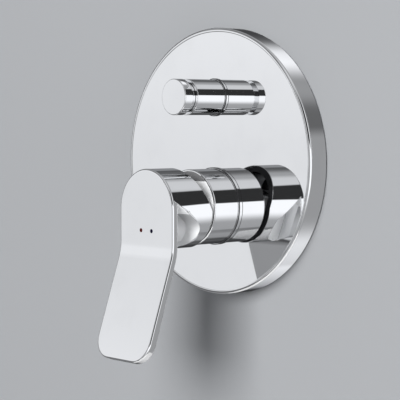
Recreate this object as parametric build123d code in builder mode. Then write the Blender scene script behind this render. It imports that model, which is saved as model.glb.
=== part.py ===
from build123d import *
from math import cos, radians, sin, sqrt, tan
import os

# Concealed bath and shower mixer: wall plate, single-lever cartridge valve and pull diverter.
# Millimetres. The finished wall is the plane y = 0, and the room is on its -y side.
# A depth is a distance from the wall towards the room, so a point at depth d has y = -d.

# Axes of the two valves, as heights over the plate's centre
body_axis_z = -27.7
diverter_axis_z = 39.7

# Fits
running_clearance = 0.08
slip_clearance = 0.1
seat_gap = 0.1
seal_gap = 0.05
free_clearance = 0.3

# Wall plate and gasket
plate_radius = 82.5
plate_depth = 13.7
plate_wall = 1.5
plate_edge_radius = 1.3
gasket_thickness = 3.0
gasket_width = 6.0
gasket_proud = 0.8
plate_seal_width = 3.0
plate_seal_thickness = 2.5

# Cartridge, counted forwards from the floor of its chamber
cartridge_front = 35.0
cartridge_length = 40.0
cartridge_radius = 17.5
cartridge_neck_radius = 14.0
cartridge_wide_length = 26.0
housing_wall = 2.0
base_thickness = 7.5
fixed_disc_thickness = 4.0
disc_film = 0.05
moving_disc_thickness = 3.7
carrier_thickness = 4.4
carrier_width = 15.2
rotor_radius = 11.5
rotor_flange_thickness = 3.3
rotor_proud = 1.0
rib_depth = 3.4
rib_width = 2.4
rib_length = 16.0
port_radius = 2.9
inlet_port_x = 5.5
inlet_port_z = -6.4
outlet_port_z = 6.0
mixing_recess_radius = 6.6
mixing_recess_z = 3.4
mixing_recess_depth = 1.4
base_seal_width = 1.4
base_seal_thickness = 2.0

# Stem and its pivot
lift_angle = 22.0
pivot_sink = 8.0
pin_radius = 1.75
stem_square = 8.0
stem_eye_radius = 5.0
stem_eye_width = 9.0
stem_shank_radius = 2.3
stem_ball_radius = 2.8
stem_cover = 9.3

# Valve body in the wall
neck_wall = 3.9
nut_engagement = 9.5
nut_thread_wall = 1.45
nut_head_height = 5.0
nut_corner_clearance = 0.4
neck_setback = 0.3
sleeve_groove_depth = 1.9
sleeve_groove_width = 2.4
sleeve_groove_setback = 4.8
barrel_front = 1.0
barrel_wall = 2.95
valve_back = -40.0
casting_bevel = 2.0
inlet_depth = -20.0
inlet_reach = 50.0
shower_depth = -14.5
shower_rise = 34.0
bath_depth = -24.0
bath_drop = 50.0
port_boss_radius = 13.5
union_hex_radius = 16.0
union_hex_length = 17.0
union_face_radius = 13.4
union_chamfer_angle = 30.0
union_spigot_radius = 9.6
union_spigot_length = 4.0
union_passage_radius = 6.5
union_plenum = 1.5
thread_radius = 9.32
thread_length = 15.0
inlet_passage_end = 5.0
trunk_radius = 10.0
trunk_front_depth = -17.0
trunk_back_depth = -29.0
mixed_passage_radius = 4.0
mixed_passage_depth = -20.0
side_passage_radius = 3.0
shower_passage_depth = -10.0
bath_passage_depth = -31.0
bracket_z = 9.0
bracket_spacing = 60.0
bracket_width = 16.0
bracket_thickness = 6.0
bracket_front = -4.5
bracket_hole_radius = 2.75

# Body sleeve
sleeve_wall = 1.5
sleeve_front = 34.7
sleeve_back_gap = 1.0
sleeve_dome = 2.0
sleeve_edge_radius = 0.8
body_ring_width = 0.65
body_ring_height = 1.5
ring_edge_radius = 0.55

# Handle
handle_step = 1.16
handle_gap = 3.2
handle_length = 31.4
relief_start_z = -1.5
relief_angle = 23.6
lever_root_thickness = 3.8
handle_root_overlap = 1.2
lever_end_thickness = 4.9
lever_bend_z = -24.6
lever_end_z = -88.0
lever_angle = 18.8
lever_bend_radius = 30.0
lever_corner_radius = 13.0
lever_edge_radius = 1.25
lever_back_radius = 0.7
pocket_top_z = 4.7
pocket_top_angle = 36.0
pocket_bottom_z = -25.4
pocket_bottom_angle = 12.0
pocket_nose_radius = 8.2
keel_half_width = 13.9
keel_draft = 22.9
cavity_wall = 4.0
cavity_floor_wall = 1.8
core_front_wall = 3.5
core_bottom_z = 5.5
stem_boss_radius = 9.0
set_screw_radius = 2.5
set_screw_length = 8.0
set_screw_hex = 2.5
set_screw_hex_depth = 3.0
set_screw_setback = 9.0
mark_radius = 1.2
mark_spacing = 9.6
mark_z = -12.5
mark_thickness = 0.5

# Diverter
diverter_stem_radius = 3.0
bonnet_spigot_radius = 9.45
bonnet_thread_radius = 10.2
bonnet_thread_length = 9.0
bonnet_hex_radius = 12.4
bonnet_hex_height = 4.8
bonnet_spigot_length = 16.0
bonnet_skirt_wall = 3.4
bonnet_chamber_reach = 2.0
bonnet_window_radius = 1.8
diverter_bore_radius = 9.0
diverter_barrel_wall = 3.7
diverter_barrel_front = 1.0
diverter_bore_reserve = 5.9
diverter_sleeve_wall = 1.25
diverter_sleeve_front = 37.5
diverter_sleeve_lip = 1.5
diverter_lip_width = 0.45
diverter_sleeve_edge_radius = 0.4
diverter_ring_width = 0.6
diverter_ring_height = 1.2
diverter_travel = 8.0
knob_gap = 4.2
knob_length = 5.9
knob_edge_radius = 0.6
knob_neck_gap = 4.6
knob_cover = 3.6
washer_front = -20.0
washer_thickness = 4.0
washer_radius = 7.4
washer_spigot_radius = 2.4
stem_flange_radius = 5.0
stem_flange_thickness = 2.0
washer_nut_radius = 5.1
washer_nut_thickness = 2.5
seat_hole_radius = 5.6
seat_thickness = 3.0
stem_seal_depth = 16.0
stem_seal_groove = 2.0
stem_seal_width = 2.2

# Cartridge stack: depths of each piece's faces
chamber_floor = cartridge_front - cartridge_length
base_front = chamber_floor + base_thickness
fixed_disc_front = base_front + fixed_disc_thickness
moving_disc_back = fixed_disc_front + disc_film
moving_disc_front = moving_disc_back + moving_disc_thickness
carrier_front = moving_disc_front + carrier_thickness
flange_back = carrier_front + seat_gap
flange_front = flange_back + rotor_flange_thickness
rotor_front = cartridge_front + rotor_proud
shoulder_depth = chamber_floor + cartridge_wide_length
pivot_depth = cartridge_front - pivot_sink
ball_depth = carrier_front - seat_gap
lift_travel = (pivot_depth - ball_depth) * radians(lift_angle)

# Radii that follow from the cartridge outwards
housing_bore = cartridge_radius - housing_wall
disc_radius = housing_bore - lift_travel - free_clearance
chamber_radius = cartridge_radius + slip_clearance
nut_thread_radius = chamber_radius + slip_clearance + nut_thread_wall
neck_radius = chamber_radius + neck_wall
sleeve_bore = neck_radius + free_clearance
sleeve_radius = sleeve_bore + sleeve_wall
barrel_radius = neck_radius + barrel_wall
handle_radius = sleeve_radius + handle_step
neck_front = shoulder_depth - neck_setback
nut_head_back = neck_front + seat_gap
nut_head_front = nut_head_back + nut_head_height
sleeve_back = barrel_front + sleeve_back_gap

# Depths and radii of the handle and the diverter that follow from their neighbours
plate_back = plate_depth - plate_wall
handle_rear = sleeve_front + handle_gap
handle_front = handle_rear + handle_length
lever_back = handle_front - lever_root_thickness
stem_tip = handle_front - stem_cover
set_screw_depth = stem_tip - set_screw_setback
diverter_sleeve_bore = bonnet_spigot_radius + free_clearance
diverter_sleeve_radius = diverter_sleeve_bore + diverter_sleeve_wall
diverter_barrel_radius = bonnet_thread_radius + slip_clearance + diverter_barrel_wall
bonnet_thread_back = diverter_barrel_front - bonnet_thread_length
bonnet_hex_back = diverter_barrel_front + seat_gap
bonnet_hex_front = bonnet_hex_back + bonnet_hex_height
bonnet_front = bonnet_hex_front + bonnet_spigot_length
bonnet_back = washer_front + diverter_travel + seat_gap
washer_back = washer_front - washer_thickness
seat_front = washer_back - seat_gap
seat_back = seat_front - seat_thickness
diverter_bore_back = seat_back - diverter_bore_reserve
knob_back = diverter_sleeve_front + knob_gap
knob_front = knob_back + knob_length
knob_neck_radius = diverter_sleeve_bore - diverter_lip_width - free_clearance
knob_neck_back = bonnet_front + knob_neck_gap
stem_end = knob_front - knob_cover


def section_plane(axis_z):
    """Plane through a turning axis: local x is the depth, local y the radius."""
    return Plane(origin=(0, 0, axis_z), x_dir=(0, -1, 0), z_dir=(-1, 0, 0))


def front_plane(axis_z, depth):
    """Plane that faces the room at a depth: local x is to the right, local y is up."""
    return Plane(origin=(0, -depth, axis_z), x_dir=(1, 0, 0), z_dir=(0, -1, 0))


def side_plane(axis_z, depth, x=0, side=1):
    """Plane that faces along +x or -x, centred at a distance x, a depth and a height."""
    return Plane(origin=(x, -depth, axis_z), x_dir=(0, side, 0), z_dir=(side, 0, 0))


def upright_plane(depth, z, side=1):
    """Plane that faces up or down, centred on x = 0 at a depth and a height."""
    return Plane(origin=(0, -depth, z), x_dir=(0, 1, 0), z_dir=(0, 0, side))


def turn(axis_z, outline, mode=Mode.ADD):
    """Turn a closed outline of (depth, radius) points about the axis at a height."""
    with BuildSketch(section_plane(axis_z)) as profile:
        with BuildLine():
            Polyline(*outline, close=True)
        make_face()
    revolve(profile.sketch, axis=Axis((0, 0, axis_z), (0, -1, 0)), mode=mode)


def turn_ring(axis_z, back, front, inner_radius, outer_radius, mode=Mode.ADD):
    """Turn a ring of rectangular section between two depths."""
    turn(
        axis_z,
        [(back, inner_radius), (front, inner_radius), (front, outer_radius), (back, outer_radius)],
        mode,
    )


def turn_o_ring(axis_z, depth, inner_radius, outer_radius):
    """Turn a ring of round section that fills the space between two radii."""
    with BuildSketch(section_plane(axis_z)) as profile:
        with Locations((depth, (inner_radius + outer_radius) / 2)):
            Circle((outer_radius - inner_radius) / 2)
    revolve(profile.sketch, axis=Axis((0, 0, axis_z), (0, -1, 0)))


def drill(axis_z, places, radius, back, front):
    """Cut round holes along the depth, at (x, z) places about an axis."""
    with BuildSketch(front_plane(axis_z, back)) as holes:
        with Locations(*places):
            Circle(radius)
    extrude(holes.sketch, amount=front - back, mode=Mode.SUBTRACT)


def bore_upright(depth, radius, bottom, top):
    """Cut an upright round passage in the plane x = 0."""
    with BuildSketch(Plane.XY.offset(bottom)) as hole:
        with Locations((0, -depth)):
            Circle(radius)
    extrude(hole.sketch, amount=top - bottom, mode=Mode.SUBTRACT)


def bore_across(axis_z, depth, radius, inner, outer):
    """Cut the same passage to the left and to the right, between two distances from x = 0."""
    for side in (1, -1):
        with BuildSketch(side_plane(axis_z, depth, side * inner, side)) as hole:
            Circle(radius)
        extrude(hole.sketch, amount=outer - inner, mode=Mode.SUBTRACT)


def trunk_section(radius):
    """Oval section of the trunk between the two barrels, at the height of the lower one."""
    with BuildSketch(Plane.XY.offset(body_axis_z)) as section:
        with Locations((0, -(trunk_front_depth + trunk_back_depth) / 2)):
            SlotCenterToCenter(trunk_front_depth - trunk_back_depth, 2 * radius, rotation=90)
    return section.sketch


def build_union(mouth):
    """Build a hexagon union: threaded bore and turned chamfer at its mouth, spigot at its inner end."""
    union_end = -union_hex_length - union_spigot_length
    with BuildSketch(mouth) as hexagon:
        RegularPolygon(union_hex_radius, 6, rotation=30)
    extrude(hexagon.sketch, amount=-union_hex_length)
    with BuildSketch(mouth) as face:
        Circle(union_face_radius)
    cone_taper = union_chamfer_angle - 90
    extrude(face.sketch, amount=-union_hex_length, taper=cone_taper, mode=Mode.INTERSECT)
    with BuildSketch(mouth) as spigot:
        Circle(union_spigot_radius)
    extrude(spigot.sketch, amount=union_end)
    with BuildSketch(mouth) as passage:
        Circle(union_passage_radius)
    extrude(passage.sketch, amount=union_end, mode=Mode.SUBTRACT)
    with BuildSketch(mouth) as thread:
        Circle(thread_radius)
    extrude(thread.sketch, amount=-thread_length, mode=Mode.SUBTRACT)


# Mouth planes of the four ports, each with its distance from the axis of its barrel
hot_mouth = side_plane(body_axis_z, inlet_depth, -inlet_reach, -1)
cold_mouth = side_plane(body_axis_z, inlet_depth, inlet_reach)
shower_mouth = upright_plane(shower_depth, diverter_axis_z + shower_rise)
bath_mouth = upright_plane(bath_depth, body_axis_z - bath_drop, -1)
ports = [
    (hot_mouth, inlet_reach),
    (cold_mouth, inlet_reach),
    (shower_mouth, shower_rise),
    (bath_mouth, bath_drop),
]

inlet_places = [(inlet_port_x, inlet_port_z), (-inlet_port_x, inlet_port_z)]
port_places = inlet_places + [(0, outlet_port_z)]

# Wall plate: drawn shell with a rounded rim and a hole for each sleeve
with BuildPart() as escutcheon_plate:
    turn(
        0,
        [
            (gasket_proud, plate_radius - plate_wall),
            (plate_back, plate_radius - plate_wall),
            (plate_back, 0),
            (plate_depth, 0),
            (plate_depth, plate_radius),
            (gasket_proud, plate_radius),
        ],
    )
    front_circles = escutcheon_plate.edges().filter_by(GeomType.CIRCLE).group_by(Axis.Y)[0]
    fillet(front_circles.sort_by(SortBy.RADIUS)[-1], plate_edge_radius)
    drill(body_axis_z, [(0, 0)], sleeve_radius + free_clearance, 0, plate_depth)
    drill(diverter_axis_z, [(0, 0)], diverter_sleeve_radius + free_clearance, 0, plate_depth)

# Foam gasket inside the rim, flush with the wall
with BuildPart() as wall_gasket:
    gasket_radius = plate_radius - plate_wall - slip_clearance
    turn_ring(0, 0, gasket_thickness, gasket_radius - gasket_width, gasket_radius)

# Rubber rings that hold the plate on the two sleeves
plate_seal_back = plate_back - plate_seal_thickness
with BuildPart() as plate_seal_large:
    seal_bore = sleeve_radius + seal_gap
    turn_ring(body_axis_z, plate_seal_back, plate_back, seal_bore, seal_bore + plate_seal_width)

with BuildPart() as plate_seal_small:
    seal_bore = diverter_sleeve_radius + seal_gap
    turn_ring(diverter_axis_z, plate_seal_back, plate_back, seal_bore, seal_bore + plate_seal_width)

# Beads where the sleeves leave the plate
with BuildPart() as body_ring:
    ring_bore = sleeve_radius + seal_gap
    ring_front = plate_depth + body_ring_height
    turn_ring(body_axis_z, plate_depth, ring_front, ring_bore, ring_bore + body_ring_width)
    fillet(body_ring.edges().group_by(Axis.Y)[0].sort_by(SortBy.RADIUS)[-1], ring_edge_radius)

with BuildPart() as diverter_ring:
    ring_bore = diverter_sleeve_radius + seal_gap
    ring_front = plate_depth + diverter_ring_height
    turn_ring(diverter_axis_z, plate_depth, ring_front, ring_bore, ring_bore + diverter_ring_width)
    fillet(diverter_ring.edges().group_by(Axis.Y)[0].sort_by(SortBy.RADIUS)[-1], ring_edge_radius)

# Cover sleeve of the cartridge, with a domed front round the cartridge's neck
with BuildPart() as body_sleeve:
    dome_hole = cartridge_neck_radius + free_clearance
    turn(
        body_axis_z,
        [
            (sleeve_back, sleeve_bore),
            (sleeve_front - sleeve_wall, sleeve_bore),
            (sleeve_front + sleeve_dome - sleeve_wall, dome_hole),
            (sleeve_front + sleeve_dome, dome_hole),
            (sleeve_front, sleeve_radius),
            (sleeve_back, sleeve_radius),
        ],
    )
    outer_rims = body_sleeve.edges().filter_by(GeomType.CIRCLE).group_by(SortBy.RADIUS)[-1]
    fillet(outer_rims.sort_by(Axis.Y)[0], sleeve_edge_radius)

# Seal in the groove of the valve's neck
groove_middle = sleeve_back + sleeve_groove_setback
groove_floor = neck_radius - sleeve_groove_depth
with BuildPart() as sleeve_o_ring:
    turn_o_ring(body_axis_z, groove_middle, groove_floor + seal_gap, sleeve_bore - seal_gap)

# Brass valve body: cartridge barrel, diverter barrel, trunk and four port bosses
with BuildPart() as valve_body:
    turn(
        body_axis_z,
        [
            (valve_back, 0),
            (valve_back, barrel_radius - casting_bevel),
            (valve_back + casting_bevel, barrel_radius),
            (barrel_front, barrel_radius),
            (barrel_front, neck_radius),
            (neck_front, neck_radius),
            (neck_front, 0),
        ],
    )
    turn(
        diverter_axis_z,
        [
            (valve_back, 0),
            (valve_back, diverter_barrel_radius - casting_bevel),
            (valve_back + casting_bevel, diverter_barrel_radius),
            (diverter_barrel_front, diverter_barrel_radius),
            (diverter_barrel_front, 0),
        ],
    )
    extrude(trunk_section(trunk_radius), amount=diverter_axis_z - body_axis_z)
    boss_setback = union_hex_length + seat_gap
    for mouth, reach in ports:
        with BuildSketch(mouth.offset(-boss_setback)):
            Circle(port_boss_radius)
        extrude(amount=boss_setback - reach)
    # Cartridge chamber, nut thread and the seal's groove
    turn_ring(body_axis_z, chamber_floor, neck_front, 0, chamber_radius, Mode.SUBTRACT)
    nut_bore = nut_thread_radius + slip_clearance
    nut_bore_back = neck_front - nut_engagement - seat_gap
    turn_ring(body_axis_z, nut_bore_back, neck_front, 0, nut_bore, Mode.SUBTRACT)
    groove_back = groove_middle - sleeve_groove_width / 2
    groove_front = groove_back + sleeve_groove_width
    turn_ring(body_axis_z, groove_back, groove_front, groove_floor, neck_radius, Mode.SUBTRACT)
    # Diverter chamber and the bonnet's thread
    turn(
        diverter_axis_z,
        [
            (diverter_bore_back, 0),
            (diverter_bore_back, diverter_bore_radius),
            (bonnet_thread_back - seat_gap, diverter_bore_radius),
            (bonnet_thread_back - seat_gap, bonnet_thread_radius + slip_clearance),
            (diverter_barrel_front, bonnet_thread_radius + slip_clearance),
            (diverter_barrel_front, 0),
        ],
        Mode.SUBTRACT,
    )
    # Sockets of the unions, each with a little room behind the spigot
    socket_depth = union_spigot_length + union_plenum
    for mouth, reach in ports:
        with BuildSketch(mouth.offset(-boss_setback)):
            Circle(union_spigot_radius + slip_clearance)
        extrude(amount=-socket_depth, mode=Mode.SUBTRACT)
    # Water ways: hot and cold to the cartridge, mixed water to the diverter, then up or down
    inlet_socket_end = inlet_reach - boss_setback - socket_depth
    shower_socket_end = diverter_axis_z + shower_rise - boss_setback - socket_depth
    bath_socket_end = body_axis_z - bath_drop + boss_setback + socket_depth
    bore_across(body_axis_z, inlet_depth, union_passage_radius, inlet_passage_end, inlet_socket_end)
    drill(body_axis_z, port_places, port_radius, inlet_depth, chamber_floor)
    mixed_bottom = body_axis_z + outlet_port_z
    bore_upright(mixed_passage_depth, mixed_passage_radius, mixed_bottom, diverter_axis_z)
    bore_upright(shower_passage_depth, side_passage_radius, diverter_axis_z, shower_socket_end)
    bore_upright(bath_passage_depth, side_passage_radius, bath_socket_end, diverter_axis_z)

# Saddle bracket across the front of the trunk, with a screw hole in each ear
with BuildPart() as fixing_bracket:
    bracket_back = bracket_front - bracket_thickness
    with BuildSketch(front_plane(bracket_z, bracket_front)):
        SlotCenterToCenter(bracket_spacing, bracket_width)
    extrude(amount=-bracket_thickness)
    bracket_places = [(bracket_spacing / 2, 0), (-bracket_spacing / 2, 0)]
    drill(bracket_z, bracket_places, bracket_hole_radius, bracket_back, bracket_front)
    extrude(
        trunk_section(trunk_radius + slip_clearance),
        amount=diverter_axis_z - body_axis_z,
        mode=Mode.SUBTRACT,
    )

# Unions that take the pipes: hot, cold, up to the shower and down to the bath
with BuildPart() as hot_union:
    build_union(hot_mouth)

with BuildPart() as cold_union:
    build_union(cold_mouth)

with BuildPart() as shower_union:
    build_union(shower_mouth)

with BuildPart() as bath_union:
    build_union(bath_mouth)

# Nut that holds the cartridge down by its shoulder
with BuildPart() as cartridge_nut:
    nut_neck_bore = cartridge_neck_radius + free_clearance
    turn(
        body_axis_z,
        [
            (neck_front - nut_engagement, chamber_radius + slip_clearance),
            (shoulder_depth + seat_gap, chamber_radius + slip_clearance),
            (shoulder_depth + seat_gap, nut_neck_bore),
            (nut_head_front, nut_neck_bore),
            (nut_head_front, nut_thread_radius),
            (neck_front - nut_engagement, nut_thread_radius),
        ],
    )
    with BuildSketch(front_plane(body_axis_z, nut_head_back)):
        RegularPolygon(sleeve_bore - nut_corner_clearance, 6)
        Circle(nut_thread_radius - nut_thread_wall / 2, mode=Mode.SUBTRACT)
    extrude(amount=nut_head_height)

# Fixed case of the cartridge
with BuildPart() as cartridge_housing:
    rotor_bore = rotor_radius + running_clearance
    turn(
        body_axis_z,
        [
            (chamber_floor + seat_gap, housing_bore),
            (flange_front + seat_gap, housing_bore),
            (flange_front + seat_gap, rotor_bore),
            (cartridge_front, rotor_bore),
            (cartridge_front, cartridge_neck_radius),
            (shoulder_depth, cartridge_neck_radius),
            (shoulder_depth, cartridge_radius),
            (chamber_floor + seat_gap, cartridge_radius),
        ],
    )

with BuildPart() as cartridge_base:
    turn_ring(body_axis_z, chamber_floor, base_front, 0, housing_bore - slip_clearance)
    drill(body_axis_z, port_places, port_radius, chamber_floor, base_front)
    seal_pocket_radius = port_radius + base_seal_width + seal_gap
    seal_pocket_end = chamber_floor + base_seal_thickness
    drill(body_axis_z, port_places, seal_pocket_radius, chamber_floor, seal_pocket_end)

with BuildPart() as base_seals:
    with BuildSketch(front_plane(body_axis_z, chamber_floor)):
        with Locations(*port_places):
            Circle(port_radius + base_seal_width)
            Circle(port_radius, mode=Mode.SUBTRACT)
    extrude(amount=base_seal_thickness)

with BuildPart() as fixed_disc:
    turn_ring(body_axis_z, base_front, fixed_disc_front, 0, housing_bore - slip_clearance)
    drill(body_axis_z, port_places, port_radius, base_front, fixed_disc_front)

with BuildPart() as moving_disc:
    turn_ring(body_axis_z, moving_disc_back, moving_disc_front, 0, disc_radius)
    drill(
        body_axis_z,
        [(0, mixing_recess_z)],
        mixing_recess_radius,
        moving_disc_back,
        moving_disc_back + mixing_recess_depth,
    )

# Carrier of the moving disc: a disc with two flats that slide between the rotor's ribs
with BuildPart() as disc_carrier:
    turn_ring(body_axis_z, moving_disc_front, carrier_front, 0, disc_radius)
    with BuildSketch(front_plane(body_axis_z, moving_disc_front)):
        Rectangle(carrier_width, 2 * disc_radius)
    extrude(amount=carrier_thickness, mode=Mode.INTERSECT)
    socket_radius = stem_ball_radius + free_clearance
    drill(body_axis_z, [(0, 0)], socket_radius, ball_depth - socket_radius, carrier_front)

# Rotor: turns in the case, with a slot for the stem, ribs for the carrier and a hole for the pin
stem_slot_width = stem_eye_width + 2 * free_clearance
front_swing = (rotor_front - pivot_depth) * tan(radians(lift_angle)) + stem_square / 2
back_swing = lift_travel + stem_ball_radius
stem_slot_height = 2 * (max(front_swing, back_swing, stem_eye_radius) + 2 * free_clearance)
with BuildPart() as cartridge_rotor:
    flange_radius = housing_bore - free_clearance
    turn(
        body_axis_z,
        [
            (flange_back, 0),
            (flange_back, flange_radius),
            (flange_front, flange_radius),
            (flange_front, rotor_radius),
            (rotor_front, rotor_radius),
            (rotor_front, 0),
        ],
    )
    with BuildSketch(front_plane(body_axis_z, flange_back)):
        rib_x = (carrier_width + rib_width) / 2 + slip_clearance
        with Locations((rib_x, 0), (-rib_x, 0)):
            Rectangle(rib_width, rib_length)
    extrude(amount=-rib_depth)
    with BuildSketch(front_plane(body_axis_z, flange_back)):
        Rectangle(stem_slot_width, stem_slot_height)
    extrude(amount=rotor_front - flange_back, mode=Mode.SUBTRACT)
    with BuildSketch(side_plane(body_axis_z, pivot_depth)):
        Circle(pin_radius + seal_gap)
    extrude(amount=rotor_radius, both=True, mode=Mode.SUBTRACT)

with BuildPart() as stem_pin:
    with BuildSketch(side_plane(body_axis_z, pivot_depth)):
        Circle(pin_radius)
    extrude(amount=sqrt(rotor_radius**2 - pin_radius**2) - seal_gap, both=True)

# Stem: square shank in the handle, eye on the pin, ball in the carrier
with BuildPart() as cartridge_stem:
    with BuildSketch(front_plane(body_axis_z, pivot_depth)):
        Rectangle(stem_square, stem_square)
    extrude(amount=stem_tip - pivot_depth)
    with BuildSketch(side_plane(body_axis_z, pivot_depth)):
        Circle(stem_eye_radius)
    extrude(amount=stem_eye_width / 2, both=True)
    with BuildSketch(front_plane(body_axis_z, ball_depth)):
        Circle(stem_shank_radius)
    extrude(amount=pivot_depth - ball_depth)
    with Locations((0, -ball_depth, body_axis_z)):
        Sphere(stem_ball_radius)
    with BuildSketch(side_plane(body_axis_z, pivot_depth)):
        Circle(pin_radius + running_clearance)
    extrude(amount=stem_eye_width, both=True, mode=Mode.SUBTRACT)

# One side pocket of the handle: its outline from the side, cut in as far as the keel's slanted wall
with BuildPart() as side_pocket:
    pocket_front = handle_front
    top_slope = tan(radians(pocket_top_angle))
    bottom_slope = tan(radians(pocket_bottom_angle))
    nose_run = (pocket_top_z - pocket_bottom_z) / (top_slope + bottom_slope)
    nose = (lever_back - nose_run, pocket_top_z - nose_run * top_slope)
    with BuildSketch(section_plane(body_axis_z)):
        with BuildLine():
            FilletPolyline(
                (pocket_front, pocket_top_z + lever_root_thickness * top_slope),
                nose,
                (pocket_front, pocket_bottom_z - lever_root_thickness * bottom_slope),
                radius=pocket_nose_radius,
            )
            Line(
                (pocket_front, pocket_bottom_z - lever_root_thickness * bottom_slope),
                (pocket_front, pocket_top_z + lever_root_thickness * top_slope),
            )
        make_face()
    extrude(amount=-2 * handle_radius)
    keel_wall = Plane(
        origin=(keel_half_width, 0, body_axis_z),
        x_dir=(0, 1, 0),
        z_dir=(1, 0, -tan(radians(keel_draft))),
    )
    split(bisect_by=keel_wall, keep=Keep.TOP)

# Round body of the handle: pockets, a slanted upper rear that clears the sleeve, and a cored back
half_apex = radians((pocket_top_angle + pocket_bottom_angle) / 2)
nose_lean = radians((pocket_top_angle - pocket_bottom_angle) / 2)
nose_rear = nose[0] + pocket_nose_radius * (cos(nose_lean) / sin(half_apex) - 1)
cavity_floor = nose_rear - cavity_floor_wall
cavity_radius = handle_radius - cavity_wall
with BuildPart() as handle_body:
    with BuildSketch(front_plane(body_axis_z, handle_rear)):
        Circle(handle_radius)
    extrude(amount=lever_back + handle_root_overlap - handle_rear)
    add(side_pocket.part, mode=Mode.SUBTRACT)
    mirror(side_pocket.part, about=Plane.YZ, mode=Mode.SUBTRACT)
    relief_rise = 2 * handle_radius
    with BuildSketch(section_plane(body_axis_z)):
        with BuildLine():
            Polyline(
                (handle_rear, relief_start_z),
                (handle_rear + relief_rise * tan(radians(relief_angle)), relief_start_z + relief_rise),
                (handle_rear, relief_start_z + relief_rise),
                close=True,
            )
        make_face()
    extrude(amount=handle_radius, both=True, mode=Mode.SUBTRACT)
    with BuildSketch(front_plane(body_axis_z, handle_rear)):
        Circle(cavity_radius)
    extrude(amount=cavity_floor - handle_rear, mode=Mode.SUBTRACT)
    with BuildSketch(front_plane(body_axis_z, cavity_floor)):
        Circle(cavity_radius)
        Circle(stem_boss_radius, mode=Mode.SUBTRACT)
        with Locations((0, core_bottom_z - cavity_radius)):
            Rectangle(2 * cavity_radius, 2 * cavity_radius, mode=Mode.SUBTRACT)
    extrude(amount=lever_back - core_front_wall - cavity_floor, mode=Mode.SUBTRACT)

# Handle: the bent lever with its half-round top, joined to the round body
lever_turn = radians(lever_angle)
lever_end_depth = handle_front + (lever_bend_z - lever_end_z) * tan(lever_turn)
lever_end_back = (
    lever_end_depth - lever_end_thickness * cos(lever_turn),
    lever_end_z - lever_end_thickness * sin(lever_turn),
)
with BuildPart() as handle:
    with BuildSketch(section_plane(body_axis_z)):
        with BuildLine():
            front_line = FilletPolyline(
                (handle_front, 0),
                (handle_front, lever_bend_z),
                (lever_end_depth, lever_end_z),
                radius=lever_bend_radius,
            )
            back_line = FilletPolyline(
                (lever_back, 0),
                (lever_back, lever_bend_z - lever_root_thickness * tan(lever_turn / 2)),
                lever_end_back,
                radius=lever_bend_radius + lever_root_thickness,
            )
            Line(front_line @ 0, back_line @ 0)
            Line(front_line @ 1, back_line @ 1)
        make_face()
    extrude(amount=handle_radius, both=True)
    with BuildSketch(front_plane(body_axis_z, lever_back)):
        Circle(handle_radius)
        with Locations((0, -handle_radius)):
            Rectangle(2 * handle_radius, 2 * handle_radius, mode=Mode.SUBTRACT)
    extrude(amount=lever_root_thickness)
    end_corners = handle.edges().filter_by(Axis((0, 0, 0), (0, -cos(lever_turn), sin(lever_turn))))
    fillet(end_corners, lever_corner_radius)
    for facing, radius in ((-1, lever_edge_radius), (1, lever_back_radius)):
        broad_faces = handle.faces().filter_by(
            lambda face: facing * face.normal_at().Y > cos(2 * lever_turn)
        )
        edges = broad_faces.edges()
        outline = [edge for edge in edges if sum(edge.is_same(other) for other in edges) == 1]
        fillet(outline, radius)
    add(handle_body.part)
    socket_width = stem_square + 2 * slip_clearance
    with BuildSketch(front_plane(body_axis_z, cavity_floor)):
        Rectangle(socket_width, socket_width)
    extrude(amount=stem_tip + free_clearance - cavity_floor, mode=Mode.SUBTRACT)
    bore_upright(set_screw_depth, set_screw_radius + seal_gap, body_axis_z - handle_radius, body_axis_z)
    mark_places = [(mark_spacing / 2, mark_z), (-mark_spacing / 2, mark_z)]
    drill(body_axis_z, mark_places, mark_radius + seal_gap, handle_front - mark_thickness, handle_front)

# Grub screw that clamps the handle on the stem
with BuildPart() as handle_set_screw:
    screw_top = body_axis_z - stem_square / 2 - seal_gap
    with BuildSketch(Plane.XY.offset(screw_top - set_screw_length)):
        with Locations((0, -set_screw_depth)):
            Circle(set_screw_radius)
    extrude(amount=set_screw_length)
    with BuildSketch(Plane.XY.offset(screw_top - set_screw_length)):
        with Locations((0, -set_screw_depth)):
            RegularPolygon(set_screw_hex / sqrt(3), 6)
    extrude(amount=set_screw_hex_depth, mode=Mode.SUBTRACT)

# Enamel dots: hot on the left, cold on the right
with BuildPart() as hot_mark:
    with BuildSketch(front_plane(body_axis_z, handle_front - mark_thickness)):
        with Locations(mark_places[1]):
            Circle(mark_radius)
    extrude(amount=mark_thickness)

with BuildPart() as cold_mark:
    with BuildSketch(front_plane(body_axis_z, handle_front - mark_thickness)):
        with Locations(mark_places[0]):
            Circle(mark_radius)
    extrude(amount=mark_thickness)

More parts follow.
